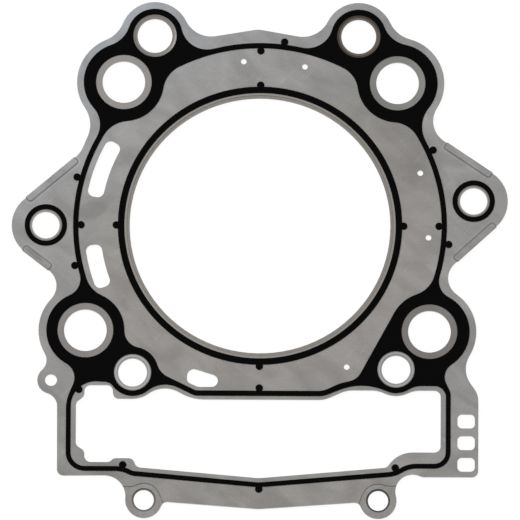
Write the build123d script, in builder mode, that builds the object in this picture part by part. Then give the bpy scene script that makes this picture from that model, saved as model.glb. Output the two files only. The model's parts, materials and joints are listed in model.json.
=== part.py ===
"""Cylinder head gasket of a single-cylinder engine: three steel sheets, with rubber seal lines on both faces.

Millimetres. The gasket lies flat with +Z up. The origin is on the bore's axis at the underside of the lower
seals. +Y points to the end with two oil holes, and -Y to the end with the timing chain's tunnel.
"""

from build123d import *

import os
from math import asin, atan, atan2, cos, degrees, hypot, pi, radians, sin, sqrt

# Thicknesses, from the underside up
seal_height = 0.25  # rubber, on each face
facing_thickness = 0.25  # lower and upper sheet
core_thickness = 0.5  # middle sheet

# Bore, with the edge of the upper sheet set back from the core's
bore_radius = 46.75
bore_setback = 1.15
bore_seal_gap = 0.78
bore_seal_width = 2.32

# Head bolt holes, each in a rubber pad
bolt_top_left = (-49.15, 52.5)
bolt_top_right = (49.15, 52.5)
bolt_low_left = (-62.4, -38.6)
bolt_low_right = (60.9, -38.6)
bolt_hole_radius = 7.65
bolt_land = 2.35  # bare steel between the hole and its rubber
bolt_seal_width = 4.4
bolt_margin = 2.4  # steel outside the rubber
low_left_trim = 0.4  # the low left pad is this much narrower than the others

# Oil holes at the top corners, with a coined rim in the upper sheet
oil_left = (-38.05, 69.6)
oil_right = (35.15, 69.6)
oil_hole_radius = 6.25
oil_rim_setback = 0.75
oil_rim_width = 0.7
oil_rim_depth = 0.2
oil_land = 1.55
oil_seal_width = 2.1
oil_margin = 2.5

# Drain holes above the tunnel
drain_left = (-45.4, -53.95)
drain_right = (48.95, -52.5)
drain_hole_radius = 5.15
drain_setback = 0.5
drain_land = 1.55
drain_seal_width = 1.95
drain_margin = 0.95

# Ears with an outlying hole each, placed round the bore at an angle in degrees
ear_hole_radius = 4.9
ear_land = 0.9
ear_seal_width = 1.8
ear_margin = 4.65
ear_left_angle = 180.11
ear_left_gap = 2.15  # between the ear's rubber and the jacket's
ear_right_angle = 6.92
ear_right_gap = 2.51

# Lugs at the foot, where the upper sheet stops short of the hole
lug_left = (-41.15, -100.45)
lug_right = (42.7, -100.4)
lug_hole_radius = 3.62
lug_step = 0.68  # the core's hole is this much larger
lug_wall = 3.0
lug_bare_radius = 6.1  # the upper sheet's edge round the hole
lug_bare_left_y = -95.6
lug_bare_right_y = -95.0
lug_bare_hollow = 3.5
lug_cut_reach = 7.6  # how far in from the hole the cut starts, clear of the lug
lug_cut_drop = 5.5
lug_cut_corner = 1.0

# Small holes
peg_centre = (-74.6, -56.9)
peg_hole_radius = 2.15
peg_wall = 2.75
vent_radius = 1.03
vents = [(-6.1, 60.27), (15.87, 58.46), (57.42, 19.55), (60.44, -4.14), (31.28, -51.64)]

# Coolant slots: two lie on an arc round the bore and one beside the left drain hole
slot_land = 2.05  # steel between the slots and the jacket's rubber
slot_width = 5.8
slot_corner = 2.3
slot_spans = [(149.9, 170.15), (186.9, 202.2)]  # degrees
corner_slot_left = -25.86
corner_slot_right = -14.85
corner_slot_top = -52.6
corner_slot_bottom = -59.17
corner_slot_shoulder = 2.5
corner_slot_lean = 1.8  # its left side leans in by this much, round a corner of the same radius
corner_slot_lean_y = -56.29
corner_slot_foot_x = -21.48

# Three plain windows by the right edge
edge_window_x = 74.15
edge_window_y = -79.25
edge_window_pitch = 7.9
edge_window_count = 3
edge_window_width = 6.2
edge_window_height = 5.15
edge_window_corner = 1.6

# Edge of the sheets, as rounded corners and hollows
corner_radius = 2.3
crown_x = -1.0
crown_y = 72.0
crown_radius = 7.0
crown_hollow = 10.0
crown_hollow_angle = 26.0
oil_saddle = 11.1
waist_hollow = 11.2
waist_angle = -145.9
waist_bend_x = -72.3
waist_bend_y = 32.0
waist_bend_hollow = 9.3
ear_hollow = 7.3
ear_hollow_left_angle = 137.5
ear_hollow_right_angle = 54.7
shoulder_hollow = 9.0
shoulder_angle = -32.2
peg_hollow = 5.0
peg_hollow_angle = -106.2
left_edge = -72.25
right_edge = 78.5
foot_edge = -91.7
foot_apex = -103.6
foot_apex_radius = 15.0
lug_left_hollow = 7.6
lug_left_hollow_angle = 174.8
lug_right_hollow = 6.2
lug_right_hollow_angle = 15.4
lug_inner_hollow = 2.3
lug_inner_angle = -20.0
right_shoulder_radius = 7.8
right_shoulder_y = -64.0
right_hollow = 9.5
right_hollow_angle = -30.9

# Tunnel for the timing chain
tunnel_top_left = -62.6
tunnel_top_left_y = -58.6
tunnel_corner_angle = 187.0
tunnel_left = -65.6
tunnel_left_top_y = -66.1
tunnel_left_foot_y = -79.4
tunnel_notch_left = -62.5
tunnel_notch_angle = 173.0
tunnel_foot = -86.8
tunnel_notch_right = -54.4
tunnel_shelf = -85.35
tunnel_shelf_right = -46.7
tunnel_shelf_angle = 15.0
tunnel_apex = -92.4
tunnel_apex_radius = 15.0
tunnel_right_shelf = -82.8
tunnel_right_shelf_x = 55.0
tunnel_right_shelf_hollow = 10.2
tunnel_right_shelf_angle = 147.0
tunnel_right = 65.0
tunnel_top_right_y = -60.1
tunnel_drain_bend = 10.0
tunnel_bulge_x = 33.5
tunnel_brow = -63.65  # the top edge between the drain holes
tunnel_brow_left = -19.9
tunnel_brow_left_hollow = 16.2
tunnel_brow_right = 21.35
tunnel_brow_right_hollow = 9.8
tunnel_tooth_x = -50.3
tunnel_tooth_y = -61.5
tunnel_tooth_left = -54.5
tunnel_tooth_radius = 2.05

# Rubber line round the coolant jacket
seal_line_width = 1.9
jacket_seal_reach = 8.22  # how far its inner edge lies inside the low left bolt hole's centre
jacket_left_blend = 10.5
jacket_right_blend = 10.0
pad_saddle = 10.2
crown_saddle = 9.3
top_left_saddle = 9.4
top_right_saddle = 11.3
low_saddle = 6.5
drain_left_widening = 0.65  # more rubber on the coolant side of the left drain hole
drain_left_neck = 6.2
drain_left_bend = 7.0
drain_left_bend_angle = 16.9
seal_brow = -60.5  # the coolant side of the straight stretch
seal_brow_left_x = -22.0
seal_brow_left_bend = 3.0
seal_brow_right_x = 21.2
seal_brow_right_bend = 7.6
seal_bank_offset = (-15.45, -18.7)  # from the right drain hole
seal_bank_hollow = 14.2
seal_cove_offset = (-18.0, 1.5)
seal_cove_bend = 6.06

# Rubber line round the tunnel
tunnel_line_width = 1.73
seal_left = -69.18
seal_left_bend = 14.73
seal_left_bend_y = -67.3
seal_left_hollow = 6.0
seal_left_hollow_angle = -119.4
seal_foot_left = -90.03
seal_foot_left_corner = 6.78
seal_foot_left_hollow = 10.27
seal_foot_left_x = -51.45
seal_foot_left_bend = 5.33
seal_foot_left_angle = 62.0
seal_apex = -95.73
seal_apex_radius = 14.83
seal_foot_right = -88.68
seal_foot_right_corner = 5.93
seal_foot_right_hollow = 9.27
seal_foot_right_x = 56.35
seal_foot_right_bend = 10.73
seal_foot_right_angle = 122.5
seal_right = 68.58
seal_right_bend = 4.83
seal_right_bend_y = -62.0
seal_right_hollow = 5.5
seal_right_hollow_angle = -56.4
seal_tunnel_top = -58.5
seal_tunnel_left_bend = 9.0
seal_tunnel_left_y = -66.3
seal_tunnel_right_corner = 4.1
seal_tunnel_drain_bend = 8.2
seal_tunnel_long_bend = 20.9
seal_tunnel_left_bulge = 10.0
seal_tunnel_left_angle = -50.8
seal_tunnel_neck = 3.8
seal_tunnel_neck_angle = -144.0

# Round spots on the upper face where the rubber was fed, each just off the edge of its line
gate_radius = 1.33
jacket_gate_reach = 0.95
inner_gate_angles = [0, 90, 180]
outer_gate_angles = [-5.6, 24.3, 82.8, 165.1, 192.7]
brow_gate_reach = 1.0
apex_gate_reach = 0.7
left_gate_offset = (4.58, 7.0)  # from the line's left edge, at the height of its bend's centre
foot_left_gate_offset = (2.7, 2.23)  # from the top of the line's left hollow
foot_right_gate_offset = (-7.55, 0.18)
bore_gate_reach = 0.55
bore_gate_count = 4

# Tabs of the lower sheet, folded over the upper sheet along the ears' straight flanks
tab_width = 2.4
tab_clearance = 0.05
tab_corner = 1.2
tab_gaps = [(0.45, 1.1), (-1.0, 0.1), (1.2, 0.3), (0.3, 1.3)]  # at both ends of each flank


def on_arc(radius, *angles):
    """Points on a circle round the bore, at these angles in degrees."""
    return [(radius * cos(radians(angle)), radius * sin(radians(angle))) for angle in angles]


# Radii that follow
jacket_seal_radius = hypot(*bolt_low_left) - jacket_seal_reach  # the line's inner edge
jacket_outer = jacket_seal_radius + seal_line_width
slot_inner_radius = jacket_seal_radius - slot_land - slot_width
upper_bore_radius = bore_radius + bore_setback
bore_seal_inner = upper_bore_radius + bore_seal_gap
bore_seal_outer = bore_seal_inner + bore_seal_width
bolt_pad_inner = bolt_hole_radius + bolt_land
bolt_pad_radius = bolt_pad_inner + bolt_seal_width
low_left_pad_radius = bolt_pad_radius - low_left_trim
bolt_boss = bolt_pad_radius + bolt_margin
oil_upper_radius = oil_hole_radius + oil_rim_setback
oil_pad_inner = oil_hole_radius + oil_land
oil_pad_radius = oil_pad_inner + oil_seal_width
oil_boss = oil_pad_radius + oil_margin
drain_upper_radius = drain_hole_radius + drain_setback
drain_pad_inner = drain_hole_radius + drain_land
drain_pad_radius = drain_pad_inner + drain_seal_width
drain_boss = drain_pad_radius + drain_margin
ear_seal_inner = ear_hole_radius + ear_land
ear_seal_outer = ear_seal_inner + ear_seal_width
ear_boss = ear_seal_outer + ear_margin
lug_boss = lug_hole_radius + lug_wall
peg_boss = peg_hole_radius + peg_wall

# Centres that follow
[ear_left] = on_arc(jacket_outer + ear_left_gap + ear_seal_outer, ear_left_angle)
[ear_right] = on_arc(jacket_outer + ear_right_gap + ear_seal_outer, ear_right_angle)
bolts = [bolt_top_left, bolt_top_right, bolt_low_left, bolt_low_right]
oils = [oil_left, oil_right]
drains = [drain_left, drain_right]
ears = [ear_left, ear_right]
lugs = [lug_left, lug_right]

# Levels that follow
lower_sheet_z = seal_height
core_z = lower_sheet_z + facing_thickness
upper_sheet_z = core_z + core_thickness
upper_seal_z = upper_sheet_z + facing_thickness

tiny = 1e-6


def offset_from(point, offset, radius):
    """A station at this offset from a point."""
    return (point[0] + offset[0], point[1] + offset[1], radius)


def touching(station, radius, direction):
    """A station of this radius against another one, with its centre in this direction in degrees."""
    x, y, other = station
    reach = abs(other - radius)
    return (x + reach * cos(radians(direction)), y + reach * sin(radians(direction)), radius)


def between(first, second, radius):
    """A station of this radius that touches two others, passed in this order."""
    x1, y1, radius1 = first
    x2, y2, radius2 = second
    reach1 = abs(radius1 - radius)
    reach2 = abs(radius2 - radius)
    gap = hypot(x2 - x1, y2 - y1)
    along = (reach1**2 - reach2**2 + gap**2) / (2 * gap)
    aside = sqrt(reach1**2 - along**2)
    bulging = [radius1, radius, radius2]
    if sum(value > 0 for value in bulging) >= 2:
        aside = -aside
    across = (x2 - x1) / gap
    up = (y2 - y1) / gap
    return (x1 + along * across - aside * up, y1 + along * up + aside * across, radius)


def corner(wall_x, wall_y, radius, across, up):
    """A station that touches an upright and a level wall, on the side given by 1 or -1 for each."""
    return (wall_x + across * abs(radius), wall_y + up * abs(radius), radius)


def standing(x, floor, radius):
    """A station on a level line."""
    return (x, floor + abs(radius), radius)


def hanging(x, ceiling, radius):
    """A station under a level line."""
    return (x, ceiling - abs(radius), radius)


def beside(station, radius, centre_y, side):
    """A station of this radius against another's right (1) or left (-1), with its centre at this height."""
    x, y, other = station
    reach = abs(other - radius)
    return (x + side * sqrt(reach**2 - (centre_y - y) ** 2), centre_y, radius)


def flank(first, second):
    """Heading and end points of the straight line from one station to the next."""
    x1, y1, radius1 = first
    x2, y2, radius2 = second
    gap = hypot(x2 - x1, y2 - y1)
    slant = max(-1, min(1, (radius2 - radius1) / gap))
    heading = atan2(y2 - y1, x2 - x1) - asin(slant)
    leaving = Vector(x1 + radius1 * sin(heading), y1 - radius1 * cos(heading))
    arriving = Vector(x2 + radius2 * sin(heading), y2 - radius2 * cos(heading))
    if (arriving - leaving).length < 100 * tiny:
        arriving = leaving
    return heading, leaving, arriving


def belt(stations):
    """Draw the closed line of a belt laid round the stations, anticlockwise.

    A station is x, y and a radius. A positive radius is a bulge that the belt turns left round, and a
    negative one a hollow that it turns right round. Stations that touch join with no straight between.
    """
    flanks = [flank(first, second) for first, second in zip(stations, stations[1:] + stations[:1])]
    for index, (x, y, radius) in enumerate(stations):
        heading_in, _, start = flanks[index - 1]
        heading_out, end, next_start = flanks[index]
        side = 1 if radius > 0 else -1
        turn = side * ((side * (heading_out - heading_in) + tiny) % (2 * pi) - tiny)
        middle = heading_in + turn / 2
        ThreePointArc(start, Vector(x + radius * sin(middle), y - radius * cos(middle)), end)
        if next_start is not end:
            Line(end, next_start)


def narrowed(stations, width):
    """The same stations for a line that runs this far inside."""
    return [(x, y, radius - width) for x, y, radius in stations]


# Edge of the sheets
oil_left_boss = (*oil_left, oil_boss)
oil_right_boss = (*oil_right, oil_boss)
top_left_boss = (*bolt_top_left, bolt_boss)
top_right_boss = (*bolt_top_right, bolt_boss)
low_left_boss = (*bolt_low_left, bolt_boss)
low_right_boss = (*bolt_low_right, bolt_boss)
ear_left_boss = (*ear_left, ear_boss)
ear_right_boss = (*ear_right, ear_boss)
lug_left_boss = (*lug_left, lug_boss)
lug_right_boss = (*lug_right, lug_boss)
peg_eye = (*peg_centre, peg_boss)
waist_bend = (waist_bend_x, waist_bend_y, -waist_bend_hollow)
low_left_hollow = touching(low_left_boss, -ear_hollow, ear_hollow_left_angle)
low_right_hollow = touching(low_right_boss, -ear_hollow, ear_hollow_right_angle)
right_shoulder_hollow = touching(top_right_boss, -shoulder_hollow, shoulder_angle)
lug_right_outer = touching(lug_right_boss, -lug_right_hollow, lug_right_hollow_angle)
sheet_edge = [
    oil_left_boss,
    between(oil_left_boss, top_left_boss, -oil_saddle),
    top_left_boss,
    touching(top_left_boss, -waist_hollow, waist_angle),
    waist_bend,
    ear_left_boss,
    low_left_hollow,
    low_left_boss,
    between(low_left_boss, peg_eye, -peg_hollow),
    peg_eye,
    touching(peg_eye, -peg_hollow, peg_hollow_angle),
    corner(left_edge, foot_edge, corner_radius, 1, 1),
    touching(lug_left_boss, -lug_left_hollow, lug_left_hollow_angle),
    lug_left_boss,
    touching(lug_left_boss, -lug_inner_hollow, lug_inner_angle),
    standing(0, foot_apex, foot_apex_radius),
    touching(lug_right_boss, -lug_inner_hollow, 180 - lug_inner_angle),
    lug_right_boss,
    lug_right_outer,
    beside(lug_right_outer, corner_radius, foot_edge + corner_radius, 1),
    corner(right_edge, foot_edge, corner_radius, -1, 1),
    (right_edge - right_shoulder_radius, right_shoulder_y, right_shoulder_radius),
    touching(low_right_boss, -right_hollow, right_hollow_angle),
    low_right_boss,
    low_right_hollow,
    ear_right_boss,
    right_shoulder_hollow,
    top_right_boss,
    between(top_right_boss, oil_right_boss, -oil_saddle),
    oil_right_boss,
    touching(oil_right_boss, -crown_hollow, 180 - crown_hollow_angle),
    hanging(crown_x, crown_y, crown_radius),
    touching(oil_left_boss, -crown_hollow, crown_hollow_angle),
]
folded_flanks = [
    flank(waist_bend, ear_left_boss),
    flank(ear_left_boss, low_left_hollow),
    flank(low_right_hollow, ear_right_boss),
    flank(ear_right_boss, right_shoulder_hollow),
]

# Edge of the tunnel
drain_left_ring = (*drain_left, -drain_boss)
drain_right_ring = (*drain_right, -drain_boss)
tunnel_corner = corner(tunnel_top_left, tunnel_top_left_y, corner_radius, 1, -1)
tunnel_notch = corner(tunnel_notch_left, tunnel_foot, corner_radius, 1, 1)
tunnel_notch_end = standing(tunnel_notch_right, tunnel_foot, corner_radius)
tunnel_left_shelf = hanging(tunnel_shelf_right, tunnel_shelf, -corner_radius)
tunnel_right_shelf_bend = hanging(tunnel_right_shelf_x, tunnel_right_shelf, -tunnel_right_shelf_hollow)
tunnel_brow_left_bend = standing(tunnel_brow_left, tunnel_brow, -tunnel_brow_left_hollow)
tunnel_drain_y = tunnel_top_right_y - tunnel_drain_bend
tunnel_edge = [
    tunnel_corner,
    touching(tunnel_corner, -corner_radius, tunnel_corner_angle),
    (tunnel_left + corner_radius, tunnel_left_top_y, corner_radius),
    (tunnel_left + corner_radius, tunnel_left_foot_y, corner_radius),
    touching(tunnel_notch, -corner_radius, tunnel_notch_angle),
    tunnel_notch,
    tunnel_notch_end,
    beside(tunnel_notch_end, -corner_radius, tunnel_shelf - corner_radius, 1),
    tunnel_left_shelf,
    touching(tunnel_left_shelf, corner_radius, tunnel_shelf_angle),
    standing(0, tunnel_apex, tunnel_apex_radius),
    touching(tunnel_right_shelf_bend, corner_radius, tunnel_right_shelf_angle),
    tunnel_right_shelf_bend,
    corner(tunnel_right, tunnel_right_shelf, corner_radius, -1, 1),
    corner(tunnel_right, tunnel_top_right_y, corner_radius, -1, -1),
    beside(drain_right_ring, tunnel_drain_bend, tunnel_drain_y, 1),
    drain_right_ring,
    beside(drain_right_ring, tunnel_drain_bend, tunnel_drain_y, -1),
    hanging(tunnel_bulge_x, tunnel_top_right_y, tunnel_drain_bend),
    standing(tunnel_brow_right, tunnel_brow, -tunnel_brow_right_hollow),
    tunnel_brow_left_bend,
    between(tunnel_brow_left_bend, drain_left_ring, tunnel_drain_bend),
    drain_left_ring,
    (tunnel_tooth_x, tunnel_tooth_y, -tunnel_tooth_radius),
    hanging(tunnel_tooth_left, tunnel_top_left_y, tunnel_tooth_radius),
]

# Outside of the main rubber line
jacket = (0, 0, jacket_outer)
oil_left_pad = (*oil_left, oil_pad_radius)
oil_right_pad = (*oil_right, oil_pad_radius)
top_left_pad = (*bolt_top_left, bolt_pad_radius)
top_right_pad = (*bolt_top_right, bolt_pad_radius)
low_left_pad = (*bolt_low_left, low_left_pad_radius)
low_right_pad = (*bolt_low_right, bolt_pad_radius)
seal_foot_left_rise = hanging(seal_foot_left_x, seal_foot_left, -seal_foot_left_hollow)
seal_foot_right_rise = hanging(seal_foot_right_x, seal_foot_right, -seal_foot_right_hollow)
seal_foot = [
    corner(seal_left, seal_foot_left, seal_foot_left_corner, 1, 1),
    seal_foot_left_rise,
    touching(seal_foot_left_rise, seal_foot_left_bend, seal_foot_left_angle),
    standing(0, seal_apex, seal_apex_radius),
    touching(seal_foot_right_rise, seal_foot_right_bend, seal_foot_right_angle),
    seal_foot_right_rise,
    corner(seal_right, seal_foot_right, seal_foot_right_corner, -1, 1),
]
seal_outside = [
    oil_left_pad,
    between(oil_left_pad, top_left_pad, -pad_saddle),
    top_left_pad,
    between(top_left_pad, jacket, -top_left_saddle),
    jacket,
    between(jacket, low_left_pad, -low_saddle),
    low_left_pad,
    touching(low_left_pad, -seal_left_hollow, seal_left_hollow_angle),
    (seal_left + seal_left_bend, seal_left_bend_y, seal_left_bend),
    *seal_foot,
    (seal_right - seal_right_bend, seal_right_bend_y, seal_right_bend),
    touching(low_right_pad, -seal_right_hollow, seal_right_hollow_angle),
    low_right_pad,
    between(low_right_pad, jacket, -low_saddle),
    jacket,
    between(jacket, top_right_pad, -top_right_saddle),
    top_right_pad,
    between(top_right_pad, oil_right_pad, -pad_saddle),
    oil_right_pad,
    between(oil_right_pad, jacket, -crown_saddle),
    jacket,
    between(jacket, oil_left_pad, -crown_saddle),
]

# Coolant side of the main rubber line
jacket_inside = (0, 0, jacket_seal_radius)
top_left_round = (*bolt_top_left, -bolt_pad_radius)
top_right_round = (*bolt_top_right, -bolt_pad_radius)
low_left_round = (*bolt_low_left, -low_left_pad_radius)
low_right_round = (*bolt_low_right, -bolt_pad_radius)
drain_left_round = (*drain_left, -drain_pad_radius - drain_left_widening)
seal_inside = [
    jacket_inside,
    between(jacket_inside, top_left_round, jacket_left_blend),
    top_left_round,
    between(top_left_round, jacket_inside, jacket_left_blend),
    jacket_inside,
    between(jacket_inside, low_left_round, jacket_right_blend),
    low_left_round,
    between(low_left_round, drain_left_round, drain_left_neck),
    drain_left_round,
    touching(drain_left_round, drain_left_bend, drain_left_bend_angle),
    standing(seal_brow_left_x, seal_brow, seal_brow_left_bend),
    standing(seal_brow_right_x, seal_brow, seal_brow_right_bend),
    offset_from(drain_right, seal_bank_offset, -seal_bank_hollow),
    offset_from(drain_right, seal_cove_offset, seal_cove_bend),
    low_right_round,
    between(low_right_round, jacket_inside, jacket_right_blend),
    jacket_inside,
    between(jacket_inside, top_right_round, jacket_right_blend),
    top_right_round,
    between(top_right_round, jacket_inside, jacket_right_blend),
]

# Tunnel side of the main rubber line
drain_left_edge = (*drain_left, -drain_pad_radius)
drain_right_edge = (*drain_right, -drain_pad_radius)
brow_underside = seal_brow - seal_line_width
brow_left_edge = standing(seal_brow_left_x, brow_underside, -seal_brow_left_bend - seal_line_width)
tunnel_side_left = seal_left + tunnel_line_width
tunnel_side_right = seal_right - tunnel_line_width
seal_tunnel = [
    (tunnel_side_left + seal_tunnel_left_bend, seal_tunnel_left_y, seal_tunnel_left_bend),
    *narrowed(seal_foot, tunnel_line_width),
    corner(tunnel_side_right, seal_tunnel_top, seal_tunnel_right_corner, -1, -1),
    beside(drain_right_edge, seal_tunnel_drain_bend, seal_tunnel_top - seal_tunnel_drain_bend, 1),
    drain_right_edge,
    beside(drain_right_edge, seal_tunnel_long_bend, seal_tunnel_top - seal_tunnel_long_bend, -1),
    standing(seal_brow_right_x, brow_underside, -seal_brow_right_bend - seal_line_width),
    brow_left_edge,
    touching(drain_left_edge, seal_tunnel_left_bulge, seal_tunnel_left_angle),
    drain_left_edge,
    touching(drain_left_edge, seal_tunnel_neck, seal_tunnel_neck_angle),
]

# Round spots of the main line
gates = [
    *on_arc(jacket_seal_radius - jacket_gate_reach, *inner_gate_angles),
    *on_arc(jacket_outer + jacket_gate_reach, *outer_gate_angles),
    (0, seal_brow + brow_gate_reach),
    (0, seal_apex - apex_gate_reach),
    (seal_left + left_gate_offset[0], seal_left_bend_y + left_gate_offset[1]),
    (seal_foot_left_x + foot_left_gate_offset[0], seal_foot_left + foot_left_gate_offset[1]),
    (seal_foot_right_x + foot_right_gate_offset[0], seal_foot_right + foot_right_gate_offset[1]),
]


def round_slot(start, stop):
    """Edge of a slot that follows a circle round the bore from one angle to another, in degrees."""
    inner_row = slot_inner_radius + slot_corner
    outer_row = slot_inner_radius + slot_width - slot_corner
    inner_lean = degrees(slot_corner / inner_row)
    outer_lean = degrees(slot_corner / outer_row)
    outer_corners = on_arc(outer_row, start + outer_lean, stop - outer_lean)
    inner_corners = on_arc(inner_row, stop - inner_lean, start + inner_lean)
    return [
        (*outer_corners[0], slot_corner),
        (0, 0, slot_inner_radius + slot_width),
        (*outer_corners[1], slot_corner),
        (*inner_corners[0], slot_corner),
        (0, 0, -slot_inner_radius),
        (*inner_corners[1], slot_corner),
    ]


corner_slot = [
    corner(corner_slot_left, corner_slot_top, corner_slot_shoulder, 1, -1),
    (corner_slot_left + corner_slot_lean, corner_slot_lean_y, corner_slot_lean),
    standing(corner_slot_foot_x, corner_slot_bottom, corner_slot_shoulder),
    corner(corner_slot_right, corner_slot_bottom, slot_corner, -1, 1),
]

# What all three sheets share, apart from the holes that differ in radius
with BuildSketch() as blank:
    with BuildLine():
        belt(sheet_edge)
    make_face()
    with BuildLine():
        belt(tunnel_edge)
    make_face(mode=Mode.SUBTRACT)
    for span in slot_spans:
        with BuildLine():
            belt(round_slot(*span))
        make_face(mode=Mode.SUBTRACT)
    with BuildLine():
        belt(corner_slot)
    make_face(mode=Mode.SUBTRACT)
    with Locations(*bolts):
        Circle(bolt_hole_radius, mode=Mode.SUBTRACT)
    with Locations(*ears):
        Circle(ear_hole_radius, mode=Mode.SUBTRACT)
    with Locations(peg_centre):
        Circle(peg_hole_radius, mode=Mode.SUBTRACT)
    with Locations(*vents):
        Circle(vent_radius, mode=Mode.SUBTRACT)
    with Locations((edge_window_x, edge_window_y)):
        with GridLocations(0, edge_window_pitch, 1, edge_window_count):
            RectangleRounded(
                edge_window_width,
                edge_window_height,
                edge_window_corner,
                mode=Mode.SUBTRACT,
            )

# Core sheet, whose holes are the passages' true size
with BuildPart() as core_sheet:
    with BuildSketch(Plane.XY.offset(core_z)):
        add(blank.sketch)
        Circle(bore_radius, mode=Mode.SUBTRACT)
        with Locations(*oils):
            Circle(oil_hole_radius, mode=Mode.SUBTRACT)
        with Locations(*drains):
            Circle(drain_hole_radius, mode=Mode.SUBTRACT)
        with Locations(*lugs):
            Circle(lug_hole_radius + lug_step, mode=Mode.SUBTRACT)
    extrude(amount=core_thickness)

# Lower sheet, with a tab folded up and over along each straight flank of the ears
fold_reach = tab_clearance + facing_thickness / 2
fold_low = lower_sheet_z + facing_thickness / 2
fold_high = upper_seal_z + facing_thickness / 2
with BuildPart() as lower_sheet:
    with BuildSketch(Plane.XY.offset(lower_sheet_z)):
        add(blank.sketch)
        Circle(bore_radius, mode=Mode.SUBTRACT)
        with Locations(*oils):
            Circle(oil_hole_radius, mode=Mode.SUBTRACT)
        with Locations(*drains):
            Circle(drain_hole_radius, mode=Mode.SUBTRACT)
        with Locations(*lugs):
            Circle(lug_hole_radius, mode=Mode.SUBTRACT)
    extrude(amount=facing_thickness)
    for (heading, start, end), (start_gap, end_gap) in zip(folded_flanks, tab_gaps):
        along = Vector(cos(heading), sin(heading))
        outward = Vector(sin(heading), -cos(heading))
        with BuildSketch(Plane(origin=end - along * end_gap, x_dir=outward, z_dir=-along)):
            with BuildLine():
                FilletPolyline(
                    (-tab_width, fold_low),
                    (fold_reach, fold_low),
                    (fold_reach, fold_high),
                    (fold_reach + facing_thickness / 2 - tab_width, fold_high),
                    radius=tab_clearance + facing_thickness / 2,
                )
            trace(line_width=facing_thickness)
        extrude(amount=(end - start).length - start_gap - end_gap)
    upright_edges = lower_sheet.edges().filter_by(Axis.Z)
    tab_tips = upright_edges.filter_by_position(Axis.Z, upper_seal_z, upper_seal_z + facing_thickness)
    fillet(tab_tips, tab_corner)

# Upper sheet, set back at the bore and the oil holes and cut short at the lugs
with BuildPart() as upper_sheet:
    with BuildSketch(Plane.XY.offset(upper_sheet_z)):
        add(blank.sketch)
        Circle(upper_bore_radius, mode=Mode.SUBTRACT)
        with Locations(*drains):
            Circle(drain_upper_radius, mode=Mode.SUBTRACT)
        for lug, side, bare_y in [(lug_left, -1, lug_bare_left_y), (lug_right, 1, lug_bare_right_y)]:
            lug_x, lug_y = lug
            edge = (lug_x, lug_y, lug_bare_radius)
            clear_x = lug_x + side * 2 * lug_boss
            clear_y = lug_y - 2 * lug_boss
            loop = [
                edge,
                beside(edge, -lug_bare_hollow, bare_y + lug_bare_hollow, side),
                hanging(clear_x, bare_y, lug_cut_corner),
                (clear_x, clear_y, lug_cut_corner),
                (lug_x - side * lug_cut_reach, lug_y - lug_cut_drop, lug_cut_corner),
            ]
            with BuildLine():
                belt(loop if side < 0 else loop[::-1])
            make_face(mode=Mode.SUBTRACT)
    extrude(amount=facing_thickness)
    with Locations(*[(x, y, upper_seal_z) for x, y in oils]):
        CounterSinkHole(
            oil_upper_radius,
            oil_upper_radius + oil_rim_width,
            depth=facing_thickness,
            counter_sink_angle=2 * degrees(atan(oil_rim_width / oil_rim_depth)),
        )

# Rubber of the lower face: the main line with its pads, and the ring round the bore
with BuildSketch() as lower_main_line:
    with BuildLine():
        belt(seal_outside)
    make_face()
    with BuildLine():
        belt(seal_inside)
    make_face(mode=Mode.SUBTRACT)
    with BuildLine():
        belt(seal_tunnel)
    make_face(mode=Mode.SUBTRACT)
    with Locations(*bolts):
        Circle(bolt_pad_inner, mode=Mode.SUBTRACT)
    with Locations(*oils):
        Circle(oil_pad_inner, mode=Mode.SUBTRACT)
    with Locations(*drains):
        Circle(drain_pad_inner, mode=Mode.SUBTRACT)
with BuildSketch() as lower_bore_ring:
    Circle(bore_seal_outer)
    Circle(bore_seal_inner, mode=Mode.SUBTRACT)

# Rubber of the upper face, which was fed through the round spots
with BuildSketch() as upper_main_line:
    add(lower_main_line.sketch)
    with Locations(*gates):
        Circle(gate_radius)
with BuildSketch() as upper_bore_ring:
    add(lower_bore_ring.sketch)
    with PolarLocations(bore_seal_outer + bore_gate_reach, bore_gate_count):
        Circle(gate_radius)

pieces = {"core_sheet": core_sheet, "lower_sheet": lower_sheet, "upper_sheet": upper_sheet}
faces = [
    ("lower", 0, lower_main_line, lower_bore_ring),
    ("upper", upper_seal_z, upper_main_line, upper_bore_ring),
]
for face, height, main_line, bore_ring in faces:
    plane = Plane.XY.offset(height)
    with BuildPart() as main_seal:
        with BuildSketch(plane):
            add(main_line.sketch)
        extrude(amount=seal_height)
    with BuildPart() as bore_seal:
        with BuildSketch(plane):
            add(bore_ring.sketch)
        extrude(amount=seal_height)
    pieces[face + "_main_seal"] = main_seal
    pieces[face + "_bore_seal"] = bore_seal
    for side, centre in [("left", ear_left), ("right", ear_right)]:
        with BuildPart() as ear_seal:
            with BuildSketch(plane):
                with Locations(centre):
                    Circle(ear_seal_outer)
                    Circle(ear_seal_inner, mode=Mode.SUBTRACT)
            extrude(amount=seal_height)
        pieces[face + "_ear_seal_" + side] = ear_seal

os.makedirs("parts", exist_ok=True)
for label, piece in pieces.items():
    piece.part.label = label
    export_step(piece.part, "parts/" + label + ".step")
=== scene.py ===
"""Looks of a layered steel cylinder head gasket, lying on a white table and seen from almost straight above.

Metres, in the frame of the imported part: +Z up, the origin on the bore's axis at the underside of the rubber.
"""

import json
from math import atan2, cos, radians, sin

import bpy
from mathutils import Matrix, Vector

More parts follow.
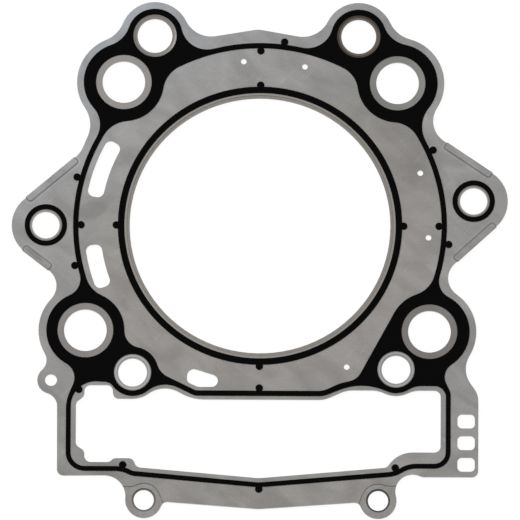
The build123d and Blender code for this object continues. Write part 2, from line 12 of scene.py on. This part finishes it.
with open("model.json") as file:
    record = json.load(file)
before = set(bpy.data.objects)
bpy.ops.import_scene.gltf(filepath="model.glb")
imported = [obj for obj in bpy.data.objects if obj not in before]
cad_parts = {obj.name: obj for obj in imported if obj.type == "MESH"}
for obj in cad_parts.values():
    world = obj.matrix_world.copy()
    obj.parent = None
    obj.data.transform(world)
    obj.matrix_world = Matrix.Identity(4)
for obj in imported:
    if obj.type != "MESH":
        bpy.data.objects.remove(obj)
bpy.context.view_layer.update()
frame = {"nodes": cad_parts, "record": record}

MM = 0.001
PER_MM = 1000.0  # texture scale for a pattern that repeats once in a millimetre

# The photograph's view
PICTURE_WIDTH = 186.44 * MM  # how much of the sheets' plane it spans from side to side
LOOK_AT = Vector((0.05, -12.62, 1.25)) * MM
ELEVATION = radians(77.96)
TURN = radians(0.27)
LENS = 1600.0
SENSOR = 36.0

# Light
WORLD_STRENGTH = 0.5
WORLD_GLOSS = 0.8  # how bright the surroundings look in the steel, which the lamps bring up to its own colour
TABLE_HALF = 4.0
TABLE_DROP = 0.01 * MM  # keeps the table's face apart from the underside of the rubber
TABLE_GLOW = 0.8  # share of white that the table shows even in shadow
TABLE_WHITE = 1.1  # a little over 1, so that the open table clips to white through the rest of its shade
# name, place, width, power
LAMPS = [
    ("softbox", (-0.9, 0.7, 1.3), 1.0, 9.0),
    ("fill", (1.1, -0.6, 1.2), 1.0, 3.0),
]

# Sheets
SHEET_STEP = 0.5 * MM  # the core's two faces, where the other sheets meet it, are at one and two of these
EDGE_SLOPE = (0.2, 0.5)  # upright share of a normal, from a cut edge to a face
BUMP_DEPTH = 0.02 * MM

# Folded tabs
FLAP_BOTTOM = 1.25 * MM  # a tab's flap lies on the upper sheet from here up
FLAP_CORNER = 0.75 * MM
# Painted shadow line round each flap and a lighter band beside it: near and far edge and softness in millimetres,
# light added
FLAP_SHADOW_BANDS = [
    (-0.1, 0.24, 0.13, -0.5),
    (0.45, 1.1, 0.25, 0.08),
]

# Facing steel: each pattern's size in millimetres, heading in degrees, and how far it is drawn out that way
CLOUD_SIZE = 19
SMEAR_SIZE, SMEAR_HEADING, SMEAR_STRETCH = 8, -38, 2.6
STREAK_SIZE, STREAK_HEADING, STREAK_STRETCH = 1.3, 3, 16
SCUFF_SIZE, SCUFF_HEADING, SCUFF_STRETCH = 0.9, 48, 11
GRAIN_SIZE = 0.6
LIT_WAY = (-0.5, 0.87, 0)  # towards the lighter, bluer steel: a painted light falloff, lighter towards the top and the left
LIT_REACH = 90 * MM  # the change starts this far behind the bore's axis and ends this far beyond it
LIT_POWER = 5.0  # keeps the change near its lit end
MARGIN_REACH = (58 * MM, 76 * MM)  # distances from the bore's axis over which the blue tint comes in
MARGIN_FOOT = (-105 * MM, -75 * MM)  # places along Y over which it comes back above the foot
BLUE_TINT = (0.98, 1.0, 1.02, 1.0)

# Core steel
CORE_CLOUD_SIZE = 9
GRIT_SIZE = 0.7
# Painted shade in the creases under the upper sheet's edges, from an ambient-occlusion node: how far it looks
CREASE_SHADE_REACH = 0.8 * MM
CREASE_SHADE_FOOT = (-92 * MM, -85 * MM)  # places along Y below which the painted crease shade is darker, at the lugs
SEAM_WIDTH = (0.015 * MM, 0.06 * MM)  # distances from a seam's middle, from dark to clear
SEAM_LIGHT = 0.3

# Rubber
SKIN_SIZE = 0.8

# Lands round the holes, coloured lighter or darker than the field, mostly painted light and shade: painted shadow in
# the lug holes' steps, painted highlights on the drain holes' bright rims, and darker bolt rings on the right, where
# less light falls. Columns: mount, which of its holes, inner and outer radius in millimetres, colour
LAND_SOFT = 0.12 * MM
FACING_LANDS = [
    ("head_bolts_top", 0, 7.0, 11.0, "#918e8b"),
    ("head_bolts_top", 1, 7.0, 11.0, "#83827f"),
    ("head_bolts_low", 0, 7.0, 11.0, "#898684"),
    ("head_bolts_low", 1, 7.0, 11.0, "#7b7875"),
    ("oil_holes", 0, 5.5, 9.0, "#827f7b"),
    ("oil_holes", 1, 5.5, 9.0, "#4e4842"),
    ("drain_hole_left", 0, 5.6, 7.6, "#a8a6a4"),
    ("drain_hole_left", 0, 6.35, 7.6, "#848280"),
    ("drain_hole_right", 0, 5.6, 7.6, "#a4a2a0"),
    ("drain_hole_right", 0, 6.35, 7.6, "#82807e"),
    ("cylinder_bore", 0, 47.6, 49.4, "#93908b"),
    ("ear_hole_left", 0, 4.5, 5.35, "#9b9794"),
    ("ear_hole_left", 0, 5.35, 6.5, "#85827f"),
    ("ear_hole_right", 0, 4.5, 5.35, "#979491"),
    ("ear_hole_right", 0, 5.35, 6.5, "#7f7b77"),
    ("lug_hole_left", 0, 3.3, 4.35, "#6c6a68"),
    ("lug_hole_right", 0, 3.3, 4.35, "#535150"),
]
CORE_LANDS = [
    ("cylinder_bore", 0, 46.0, 48.2, "#8a8681"),
    ("oil_holes", 0, 5.5, 7.4, "#85827f"),
    ("oil_holes", 1, 5.5, 7.4, "#6b645c"),
    ("drain_hole_left", 0, 4.8, 5.9, "#a3a2a0"),
    ("drain_hole_right", 0, 4.8, 5.9, "#9b9a98"),
]

# Patches darkened or lightened in the facing: middle, half length and half width in millimetres,
# heading in degrees, share of light taken, which is below zero where the steel is made lighter
TONE_PATCHES = [
    (40, 36, 30, 11, -50, 0.09),
    (-60, 5.5, 6.5, 3.4, 20, 0.17),
    (9, -41, 17, 6, 5, 0.10),
    (-66, -42, 13, 7, 60, 0.09),
    (64, -78, 13, 5, -75, 0.04),
    (63, -57, 12, 6, -70, 0.03),
    (-80.8, -11.1, 4.4, 1.1, -38, 0.24),
    (45, 66, 9, 4, 45, 0.05),
    (67, 40, 26, 12, -75, -0.17),
    (68, -22, 15, 9, -80, -0.11),
    (54, -84, 17, 7, 10, -0.13),
    (-56, -92, 20, 7, -5, 0.12),
]
PATCH_RAGGED = 1.1  # how far the cloudy pattern pushes a patch's edge out, in half widths
PATCH_FADE = 0.7

# Holes, read from the record's mounts
mounts = {mount["name"]: mount for mount in frame["record"]["mounts"]}


def hole(name, index):
    """Centre of a bore mount, or of one hole of a row of two, in metres."""
    mount = mounts[name]
    half = mount["dims"].get("spacing_x_mm", 0.0) * MM / 2
    return Vector(mount["pos_m"]) + Vector((half if index else -half, 0, 0))


def tab_flaps(node):
    """Middle, heading, half length and half width of each tab's flap, read from the sheet that is folded up."""
    flaps = []
    high = [v.co for v in node.data.vertices if v.co.z > FLAP_BOTTOM]
    walls = [face for face in node.data.polygons if face.center.z > FLAP_BOTTOM and abs(face.normal.z) < 0.1]
    for ear, half in (("left", 1), ("left", -1), ("right", -1), ("right", 1)):
        eye = hole(f"ear_hole_{ear}", 0)
        tips = [co for co in high if co.x * eye.x > 0 and (co.y - eye.y) * half > 0]
        sides = [face for face in walls if face.center.x * eye.x > 0 and (face.center.y - eye.y) * half > 0]
        longest = max(sides, key=lambda face: face.area)
        along = Vector((-longest.normal.y, longest.normal.x))
        across = Vector((longest.normal.x, longest.normal.y))
        start, end = min(co.xy @ along for co in tips), max(co.xy @ along for co in tips)
        inner, outer = min(co.xy @ across for co in tips), max(co.xy @ across for co in tips)
        middle = along * (start + end) / 2 + across * (inner + outer) / 2
        flaps.append((middle, atan2(along.y, along.x), (end - start) / 2, (outer - inner) / 2))
    return flaps


def colour(code):
    """Linear colour of an sRGB hex code, with alpha."""
    parts = [int(code[i : i + 2], 16) / 255 for i in (1, 3, 5)]
    linear = [p / 12.92 if p <= 0.04045 else ((p + 0.055) / 1.055) ** 2.4 for p in parts]
    return (*linear, 1.0)


def add(tree, kind, inputs=None, out=0, **settings):
    """Add a node, set its properties, and give its sockets a value or a link. Returns an output of it.

    The output is chosen by name or number. The colours of a Mix node are inputs 6 and 7 and output 2.
    """
    made = tree.nodes.new(kind)
    for name, value in settings.items():
        setattr(made, name, value)
    for key, value in (inputs or {}).items():
        if isinstance(value, bpy.types.NodeSocket):
            tree.links.new(value, made.inputs[key])
        else:
            made.inputs[key].default_value = value
    return made.outputs[out] if made.outputs else made


def new_material(name):
    """An empty material. Returns it with its tree."""
    material = bpy.data.materials.new(name)
    material.use_nodes = True
    material.node_tree.nodes.clear()
    return material, material.node_tree


def band(tree, value, inner, outer, soft):
    """Mask that is 1 while a length is between two limits and fades over a soft width at both."""
    rise = {"Value": value, "From Min": inner - soft, "From Max": inner + soft}
    fall = {"Value": value, "From Min": outer - soft, "From Max": outer + soft, "To Min": 1.0, "To Max": 0.0}
    smooth = {"interpolation_type": "SMOOTHSTEP"}
    up = add(tree, "ShaderNodeMapRange", rise, **smooth)
    down = add(tree, "ShaderNodeMapRange", fall, **smooth)
    return add(tree, "ShaderNodeMath", {0: up, 1: down}, operation="MULTIPLY")


def paint_lands(tree, place, tone, lands):
    """Lay each land's ring of colour over a tone. Returns the new tone."""
    flat = add(tree, "ShaderNodeVectorMath", {0: place, 1: (1.0, 1.0, 0.0)}, operation="MULTIPLY")
    for mount, index, inner, outer, code in lands:
        middle = (*hole(mount, index).xy, 0.0)
        reach = add(tree, "ShaderNodeVectorMath", {0: flat, 1: middle}, out="Value", operation="DISTANCE")
        mask = band(tree, reach, inner * MM, outer * MM, LAND_SOFT)
        tone = add(tree, "ShaderNodeMix", {0: mask, 6: tone, 7: colour(code)}, out=2, data_type="RGBA")
    return tone


def tone_patches(tree, place, shade, cloud):
    """Darken or brighten a shade in soft ovals whose edges a cloudy pattern breaks up. Returns the new shade."""
    for x, y, length, width, heading, share in TONE_PATCHES:
        turned = {"Vector": place, "Location": (x * MM, y * MM, 0), "Rotation": (0, 0, radians(heading))}
        turned["Scale"] = (length * MM, width * MM, 1)
        near = add(tree, "ShaderNodeMapping", turned, vector_type="TEXTURE")
        reach = add(tree, "ShaderNodeVectorMath", {0: near}, out="Value", operation="LENGTH")
        ragged = add(tree, "ShaderNodeMath", {0: cloud, 1: -PATCH_RAGGED, 2: reach}, operation="MULTIPLY_ADD")
        fade = {"Value": ragged, "From Min": 0.0, "From Max": PATCH_FADE, "To Min": 1.0 - share, "To Max": 1.0}
        light = add(tree, "ShaderNodeMapRange", fade, interpolation_type="SMOOTHSTEP")
        shade = add(tree, "ShaderNodeMath", {0: shade, 1: light}, operation="MULTIPLY")
    return shade


def flap_shadow_bands(tree, place, shade, flaps):
    """Painted shadow line round each folded flap, with a lighter band beside it. Returns the new shade."""
    for middle, heading, length, width in flaps:
        turned = {"Vector": place, "Location": (*middle, 0), "Rotation": (0, 0, heading)}
        near = add(tree, "ShaderNodeMapping", turned, vector_type="TEXTURE")
        folded = add(tree, "ShaderNodeVectorMath", {0: near}, operation="ABSOLUTE")
        inner = (length - FLAP_CORNER, width - FLAP_CORNER, 1.0)
        past = add(tree, "ShaderNodeVectorMath", {0: folded, 1: inner}, operation="SUBTRACT")
        past = add(tree, "ShaderNodeVectorMath", {0: past, 1: (0, 0, 0)}, operation="MAXIMUM")
        reach = add(tree, "ShaderNodeVectorMath", {0: past}, out="Value", operation="LENGTH")
        for near_edge, far_edge, soft, lift in FLAP_SHADOW_BANDS:
            limits = (FLAP_CORNER + near_edge * MM, FLAP_CORNER + far_edge * MM)
            mask = band(tree, reach, *limits, soft * MM)
            light = add(tree, "ShaderNodeMath", {0: mask, 1: lift, 2: 1.0}, operation="MULTIPLY_ADD")
            shade = add(tree, "ShaderNodeMath", {0: shade, 1: light}, operation="MULTIPLY")
    return shade


def sheet_faces(tree):
    """Mask that is 1 on a sheet's faces and 0 on its cut edges."""
    normal = add(tree, "ShaderNodeNewGeometry", out="True Normal")
    upright = add(tree, "ShaderNodeSeparateXYZ", {0: normal}, out="Z")
    steep = add(tree, "ShaderNodeMath", {0: upright}, operation="ABSOLUTE")
    slope = {"Value": steep, "From Min": EDGE_SLOPE[0], "From Max": EDGE_SLOPE[1]}
    return add(tree, "ShaderNodeMapRange", slope)


def sheared_edges(tree, tone, faces, code):
    """Sheets are blanked with a shear, so their cut edges are brighter bare steel. Returns the new tone."""
    return add(tree, "ShaderNodeMix", {0: faces, 6: colour(code), 7: tone}, out=2, data_type="RGBA")


def shaded(tree, tone, shade):
    """A tone times a shade. Returns the new tone."""
    grey = add(tree, "ShaderNodeCombineColor", {"Red": shade, "Green": shade, "Blue": shade})
    inputs = {0: 1.0, 6: tone, 7: grey}
    return add(tree, "ShaderNodeMix", inputs, out=2, data_type="RGBA", blend_type="MULTIPLY")


def make_facing_steel(flaps):
    """Cold-rolled stainless strip with a satin face.

    It is lighter and bluer towards the top and the left, darker and warmer towards the foot; the change in lightness
    is a painted light falloff. Handling and the press leave cloudy patches and slanting smears, and the rolls leave
    faint streaks and a fine grain. The rolling streaks and the grain are drawn coarser than real ones, so that they
    show.
    """
    material, tree = new_material("cold_rolled_stainless_facing")
    place = add(tree, "ShaderNodeTexCoord", out="Object")

    # Darker and lighter steel, each with its clouds, blended by the painted light falloff towards the top and left
    lean = add(tree, "ShaderNodeVectorMath", {0: place, 1: LIT_WAY}, out="Value", operation="DOT_PRODUCT")
    lit_share = add(tree, "ShaderNodeMapRange", {"Value": lean, "From Min": -LIT_REACH, "From Max": LIT_REACH})
    lit_weight = add(tree, "ShaderNodeMath", {0: lit_share, 1: LIT_POWER}, operation="POWER")
    cloud = {"Vector": place, "Scale": PER_MM / CLOUD_SIZE, "Detail": 3.0, "Distortion": 0.8}
    patch = add(tree, "ShaderNodeTexNoise", cloud)
    slant = {"Vector": place, "Rotation": (0, 0, radians(SMEAR_HEADING)), "Scale": (SMEAR_STRETCH, 1, 1)}
    slant = add(tree, "ShaderNodeMapping", slant, vector_type="TEXTURE")
    smear = {"Vector": slant, "Scale": PER_MM / SMEAR_SIZE, "Detail": 2.0, "Roughness": 0.4, "Distortion": 1.0}
    smear = add(tree, "ShaderNodeTexNoise", smear)
    clouds = add(tree, "ShaderNodeMath", {0: patch, 1: smear}, operation="ADD")
    clouds = add(tree, "ShaderNodeMapRange", {"Value": clouds, "From Min": 0.78, "From Max": 1.22})
    shaded_tone = {0: clouds, 6: colour("#8a8784"), 7: colour("#999693")}
    bright = {0: clouds, 6: colour("#979899"), 7: colour("#a5a7aa")}
    shaded_tone = add(tree, "ShaderNodeMix", shaded_tone, out=2, data_type="RGBA")
    bright = add(tree, "ShaderNodeMix", bright, out=2, data_type="RGBA")
    tone = add(tree, "ShaderNodeMix", {0: lit_weight, 6: shaded_tone, 7: bright}, out=2, data_type="RGBA")

    # Blue tint of the outer margin
    reach = add(tree, "ShaderNodeVectorMath", {0: place}, out="Value", operation="LENGTH")
    outer = {"Value": reach, "From Min": MARGIN_REACH[0], "From Max": MARGIN_REACH[1]}
    margin = add(tree, "ShaderNodeMapRange", outer)
    height = add(tree, "ShaderNodeSeparateXYZ", {0: place}, out="Y")
    upper = {"Value": height, "From Min": MARGIN_FOOT[0], "From Max": MARGIN_FOOT[1]}
    above = add(tree, "ShaderNodeMapRange", upper)
    bluish = add(tree, "ShaderNodeMath", {0: margin, 1: above}, operation="MULTIPLY")
    bluing = {0: bluish, 6: tone, 7: BLUE_TINT}
    tone = add(tree, "ShaderNodeMix", bluing, out=2, data_type="RGBA", blend_type="MULTIPLY")
    tone = paint_lands(tree, place, tone, FACING_LANDS)

    # Streaks, grain and scuffs
    rolling = {"Vector": place, "Rotation": (0, 0, radians(STREAK_HEADING)), "Scale": (STREAK_STRETCH, 1, 1)}
    rolling = add(tree, "ShaderNodeMapping", rolling, vector_type="TEXTURE")
    streak = {"Vector": rolling, "Scale": PER_MM / STREAK_SIZE, "Detail": 4.0, "Roughness": 0.6}
    streak = add(tree, "ShaderNodeTexNoise", streak)
    streaks = {"Value": streak, "From Min": 0.3, "From Max": 0.7, "To Min": 0.975, "To Max": 1.025}
    streaks = add(tree, "ShaderNodeMapRange", streaks)
    grain = {"Vector": place, "Scale": PER_MM / GRAIN_SIZE, "Detail": 2.0, "Roughness": 0.6}
    grain = add(tree, "ShaderNodeTexNoise", grain)
    grains = {"Value": grain, "From Min": 0.25, "From Max": 0.75, "To Min": 0.93, "To Max": 1.07}
    grains = add(tree, "ShaderNodeMapRange", grains)
    scuff = {"Vector": place, "Rotation": (0, 0, radians(SCUFF_HEADING)), "Scale": (SCUFF_STRETCH, 1, 1)}
    scuff = add(tree, "ShaderNodeMapping", scuff, vector_type="TEXTURE")
    scuff = add(tree, "ShaderNodeTexNoise", {"Vector": scuff, "Scale": PER_MM / SCUFF_SIZE, "Detail": 2.0})
    scuffs = {"Value": scuff, "From Min": 0.64, "From Max": 0.72, "To Min": 1.0, "To Max": 1.09}
    scuffs = add(tree, "ShaderNodeMapRange", scuffs)
    shade = add(tree, "ShaderNodeMath", {0: streaks, 1: grains}, operation="MULTIPLY")
    shade = add(tree, "ShaderNodeMath", {0: shade, 1: scuffs}, operation="MULTIPLY")
    shade = tone_patches(tree, place, shade, smear)
    # painted shadow line round each folded flap, and a lighter band beside it
    shade = flap_shadow_bands(tree, place, shade, flaps)
    tone = sheared_edges(tree, shaded(tree, tone, shade), sheet_faces(tree), "#cbc9c6")

    rough = {"Value": streak, "From Min": 0.3, "From Max": 0.7, "To Min": 0.42, "To Max": 0.54}
    roughness = add(tree, "ShaderNodeMapRange", rough)
    bump = add(tree, "ShaderNodeBump", {"Height": streak, "Strength": 0.1, "Distance": BUMP_DEPTH})
    inputs = {"Base Color": tone, "Metallic": 1.0, "Roughness": roughness, "Normal": bump}
    steel = add(tree, "ShaderNodeBsdfPrincipled", inputs)
    add(tree, "ShaderNodeOutputMaterial", {"Surface": steel})
    return material


def make_core_steel():
    """Cold-rolled steel strip with the dull, gritty face of a sheet that was blanked and never polished.

    It is darkened with painted shade in the creases where the upper sheet's edge stands over it, and its cut edge
    is dark along its seams with the other sheets.
    """
    material, tree = new_material("cold_rolled_core_strip")
    place = add(tree, "ShaderNodeTexCoord", out="Object")
    patch = add(tree, "ShaderNodeTexNoise", {"Vector": place, "Scale": PER_MM / CORE_CLOUD_SIZE, "Detail": 3.0})
    clouds = add(tree, "ShaderNodeMapRange", {"Value": patch, "From Min": 0.32, "From Max": 0.68})
    steels = {0: clouds, 6: colour("#8b8885"), 7: colour("#999795")}
    tone = add(tree, "ShaderNodeMix", steels, out=2, data_type="RGBA")
    tone = paint_lands(tree, place, tone, CORE_LANDS)

    # Grit, and painted shade in the creases under the upper sheet's edges
    grain = {"Vector": place, "Scale": PER_MM / GRIT_SIZE, "Detail": 3.0, "Roughness": 0.6}
    grain = add(tree, "ShaderNodeTexNoise", grain)
    grit = {"Value": grain, "From Min": 0.25, "From Max": 0.75, "To Min": 0.85, "To Max": 1.15}
    grit = add(tree, "ShaderNodeMapRange", grit)
    painted_crease_shade = add(tree, "ShaderNodeAmbientOcclusion", {"Distance": CREASE_SHADE_REACH}, out="AO", samples=8)
    height = add(tree, "ShaderNodeSeparateXYZ", {0: place}, out="Y")
    foot = {"Value": height, "From Min": CREASE_SHADE_FOOT[0], "From Max": CREASE_SHADE_FOOT[1], "To Min": 0.05, "To Max": 0.6}
    crease_shade_depth = add(tree, "ShaderNodeMapRange", foot)
    crease_shade_factor = {"Value": painted_crease_shade, "From Min": 0.5, "From Max": 0.9, "To Min": crease_shade_depth, "To Max": 1.0}
    crease_shade_factor = add(tree, "ShaderNodeMapRange", crease_shade_factor)
    shade = add(tree, "ShaderNodeMath", {0: grit, 1: crease_shade_factor}, operation="MULTIPLY")

    # Cut edge, with its seams
    faces = sheet_faces(tree)
    tone = sheared_edges(tree, shaded(tree, tone, shade), faces, "#b4b2af")
    level = add(tree, "ShaderNodeSeparateXYZ", {0: place}, out="Z")
    seam = add(tree, "ShaderNodeMath", {0: level, 1: SHEET_STEP / 2}, operation="PINGPONG")
    joint = {"Value": seam, "From Min": SEAM_WIDTH[0], "From Max": SEAM_WIDTH[1], "To Min": SEAM_LIGHT, "To Max": 1.0}
    gap = add(tree, "ShaderNodeMapRange", joint)
    open_face = add(tree, "ShaderNodeMath", {0: gap, 1: faces}, operation="MAXIMUM")
    tone = shaded(tree, tone, open_face)

    rough = {"Value": grain, "From Min": 0.3, "From Max": 0.7, "To Min": 0.46, "To Max": 0.58}
    roughness = add(tree, "ShaderNodeMapRange", rough)
    bump = add(tree, "ShaderNodeBump", {"Height": grain, "Strength": 0.15, "Distance": BUMP_DEPTH})
    inputs = {"Base Color": tone, "Metallic": 1.0, "Roughness": roughness, "Normal": bump}
    steel = add(tree, "ShaderNodeBsdfPrincipled", inputs)
    add(tree, "ShaderNodeOutputMaterial", {"Surface": steel})
    return material


def make_seal_rubber():
    """Moulded nitrile rubber: near black, with the faintest sheen, broken up by the mould's fine texture."""
    material, tree = new_material("moulded_nitrile_rubber")
    place = add(tree, "ShaderNodeTexCoord", out="Object")
    skin = {"Vector": place, "Scale": PER_MM / SKIN_SIZE, "Detail": 3.0, "Roughness": 0.6}
    skin = add(tree, "ShaderNodeTexNoise", skin)
    spots = {0: skin, 6: colour("#030303"), 7: colour("#090808")}
    tone = add(tree, "ShaderNodeMix", spots, out=2, data_type="RGBA")
    rough = {"Value": skin, "From Min": 0.3, "From Max": 0.7, "To Min": 0.5, "To Max": 0.66}
    roughness = add(tree, "ShaderNodeMapRange", rough)
    bump = add(tree, "ShaderNodeBump", {"Height": skin, "Strength": 0.2, "Distance": BUMP_DEPTH})
    inputs = {"Base Color": tone, "Roughness": roughness, "IOR": 1.5, "Normal": bump, "Specular IOR Level": 0.03}
    rubber = add(tree, "ShaderNodeBsdfPrincipled", inputs)
    add(tree, "ShaderNodeOutputMaterial", {"Surface": rubber})
    return material


def white_where_seen(tree, plain, share, shown, glossed):
    """Mix a shader with white for the rays that come from the camera, from gloss or through glass.

    shown is the white's strength to the camera and glossed to the other rays.
    """
    rays = ("Camera", "Glossy", "Transmission")
    camera, glossy, clear = [add(tree, "ShaderNodeLightPath", out=f"Is {ray} Ray") for ray in rays]
    seen = add(tree, "ShaderNodeMath", {0: camera, 1: glossy}, operation="MAXIMUM")
    seen = add(tree, "ShaderNodeMath", {0: seen, 1: clear}, operation="MAXIMUM")
    mixed = add(tree, "ShaderNodeMath", {0: seen, 1: share}, operation="MULTIPLY")
    kind = "ShaderNodeBackground" if plain.node.type == "BACKGROUND" else "ShaderNodeEmission"
    strength = {0: camera, 1: shown - glossed, 2: glossed}
    strength = add(tree, "ShaderNodeMath", strength, operation="MULTIPLY_ADD")
    white = add(tree, kind, {"Color": colour("#ffffff"), "Strength": strength})
    return add(tree, "ShaderNodeMixShader", {0: mixed, 1: plain, 2: white})


def make_world():
    """Even white surroundings, dimmer as a light than as a background."""
    world = bpy.data.worlds.new("white_room")
    world.use_nodes = True
    tree = world.node_tree
    tree.nodes.clear()
    plain = add(tree, "ShaderNodeBackground", {"Color": colour("#ffffff"), "Strength": WORLD_STRENGTH})
    add(tree, "ShaderNodeOutputWorld", {"Surface": white_where_seen(tree, plain, 1.0, 1.0, WORLD_GLOSS)})
    bpy.context.scene.world = world


def make_table():
    """White matt table top under the gasket, which keeps a faint shadow."""
    material, tree = new_material("white_table_laminate")
    plain = add(tree, "ShaderNodeBsdfDiffuse", {"Color": colour("#f4f4f4")})
    glow = white_where_seen(tree, plain, TABLE_GLOW, TABLE_WHITE, TABLE_WHITE)
    add(tree, "ShaderNodeOutputMaterial", {"Surface": glow})
    mesh = bpy.data.meshes.new("table_top")
    corners = [(x * TABLE_HALF, y * TABLE_HALF, 0) for x, y in ((-1, -1), (1, -1), (1, 1), (-1, 1))]
    mesh.from_pydata(corners, [], [(0, 1, 2, 3)])
    mesh.materials.append(material)
    table = bpy.data.objects.new("table_top", mesh)
    table.location.z = -TABLE_DROP
    bpy.context.scene.collection.objects.link(table)


def make_lamp(name, place, width, power):
    """Square soft lamp that faces the gasket's middle."""
    lamp = bpy.data.lights.new(name, "AREA")
    lamp.shape = "SQUARE"
    lamp.size = width
    lamp.energy = power
    holder = bpy.data.objects.new(name, lamp)
    holder.location = place
    holder.rotation_euler = (LOOK_AT - Vector(place)).to_track_quat("-Z", "Y").to_euler()
    bpy.context.scene.collection.objects.link(holder)


def make_camera():
    """Long lens, far enough away that the view is almost parallel."""
    data = bpy.data.cameras.new("camera")
    data.lens = LENS
    data.sensor_width = SENSOR
    distance = PICTURE_WIDTH * LENS / SENSOR
    data.clip_end = 4 * distance
    right = Vector((cos(TURN), sin(TURN), 0))
    back = Vector((sin(TURN) * cos(ELEVATION), -cos(TURN) * cos(ELEVATION), sin(ELEVATION)))
    up = back.cross(right)
    camera = bpy.data.objects.new("camera", data)
    turn = Matrix((right, up, back)).transposed().to_4x4()
    camera.matrix_world = Matrix.Translation(LOOK_AT + back * distance) @ turn
    bpy.context.scene.collection.objects.link(camera)
    bpy.context.scene.camera = camera


make_camera()
make_world()
make_table()
for lamp in LAMPS:
    make_lamp(*lamp)
bpy.context.scene.view_settings.view_transform = "Standard"

finishes = {
    "facing_steel": make_facing_steel(tab_flaps(frame["nodes"]["lower_sheet"])),
    "core_steel": make_core_steel(),
    "seal_rubber": make_seal_rubber(),
}
slots = {part["node"]: part["material_slot"] for part in frame["record"]["subparts"]}
for name, node in frame["nodes"].items():
    for index in range(len(node.material_slots)):
        node.material_slots[index].material = finishes[slots[name]]
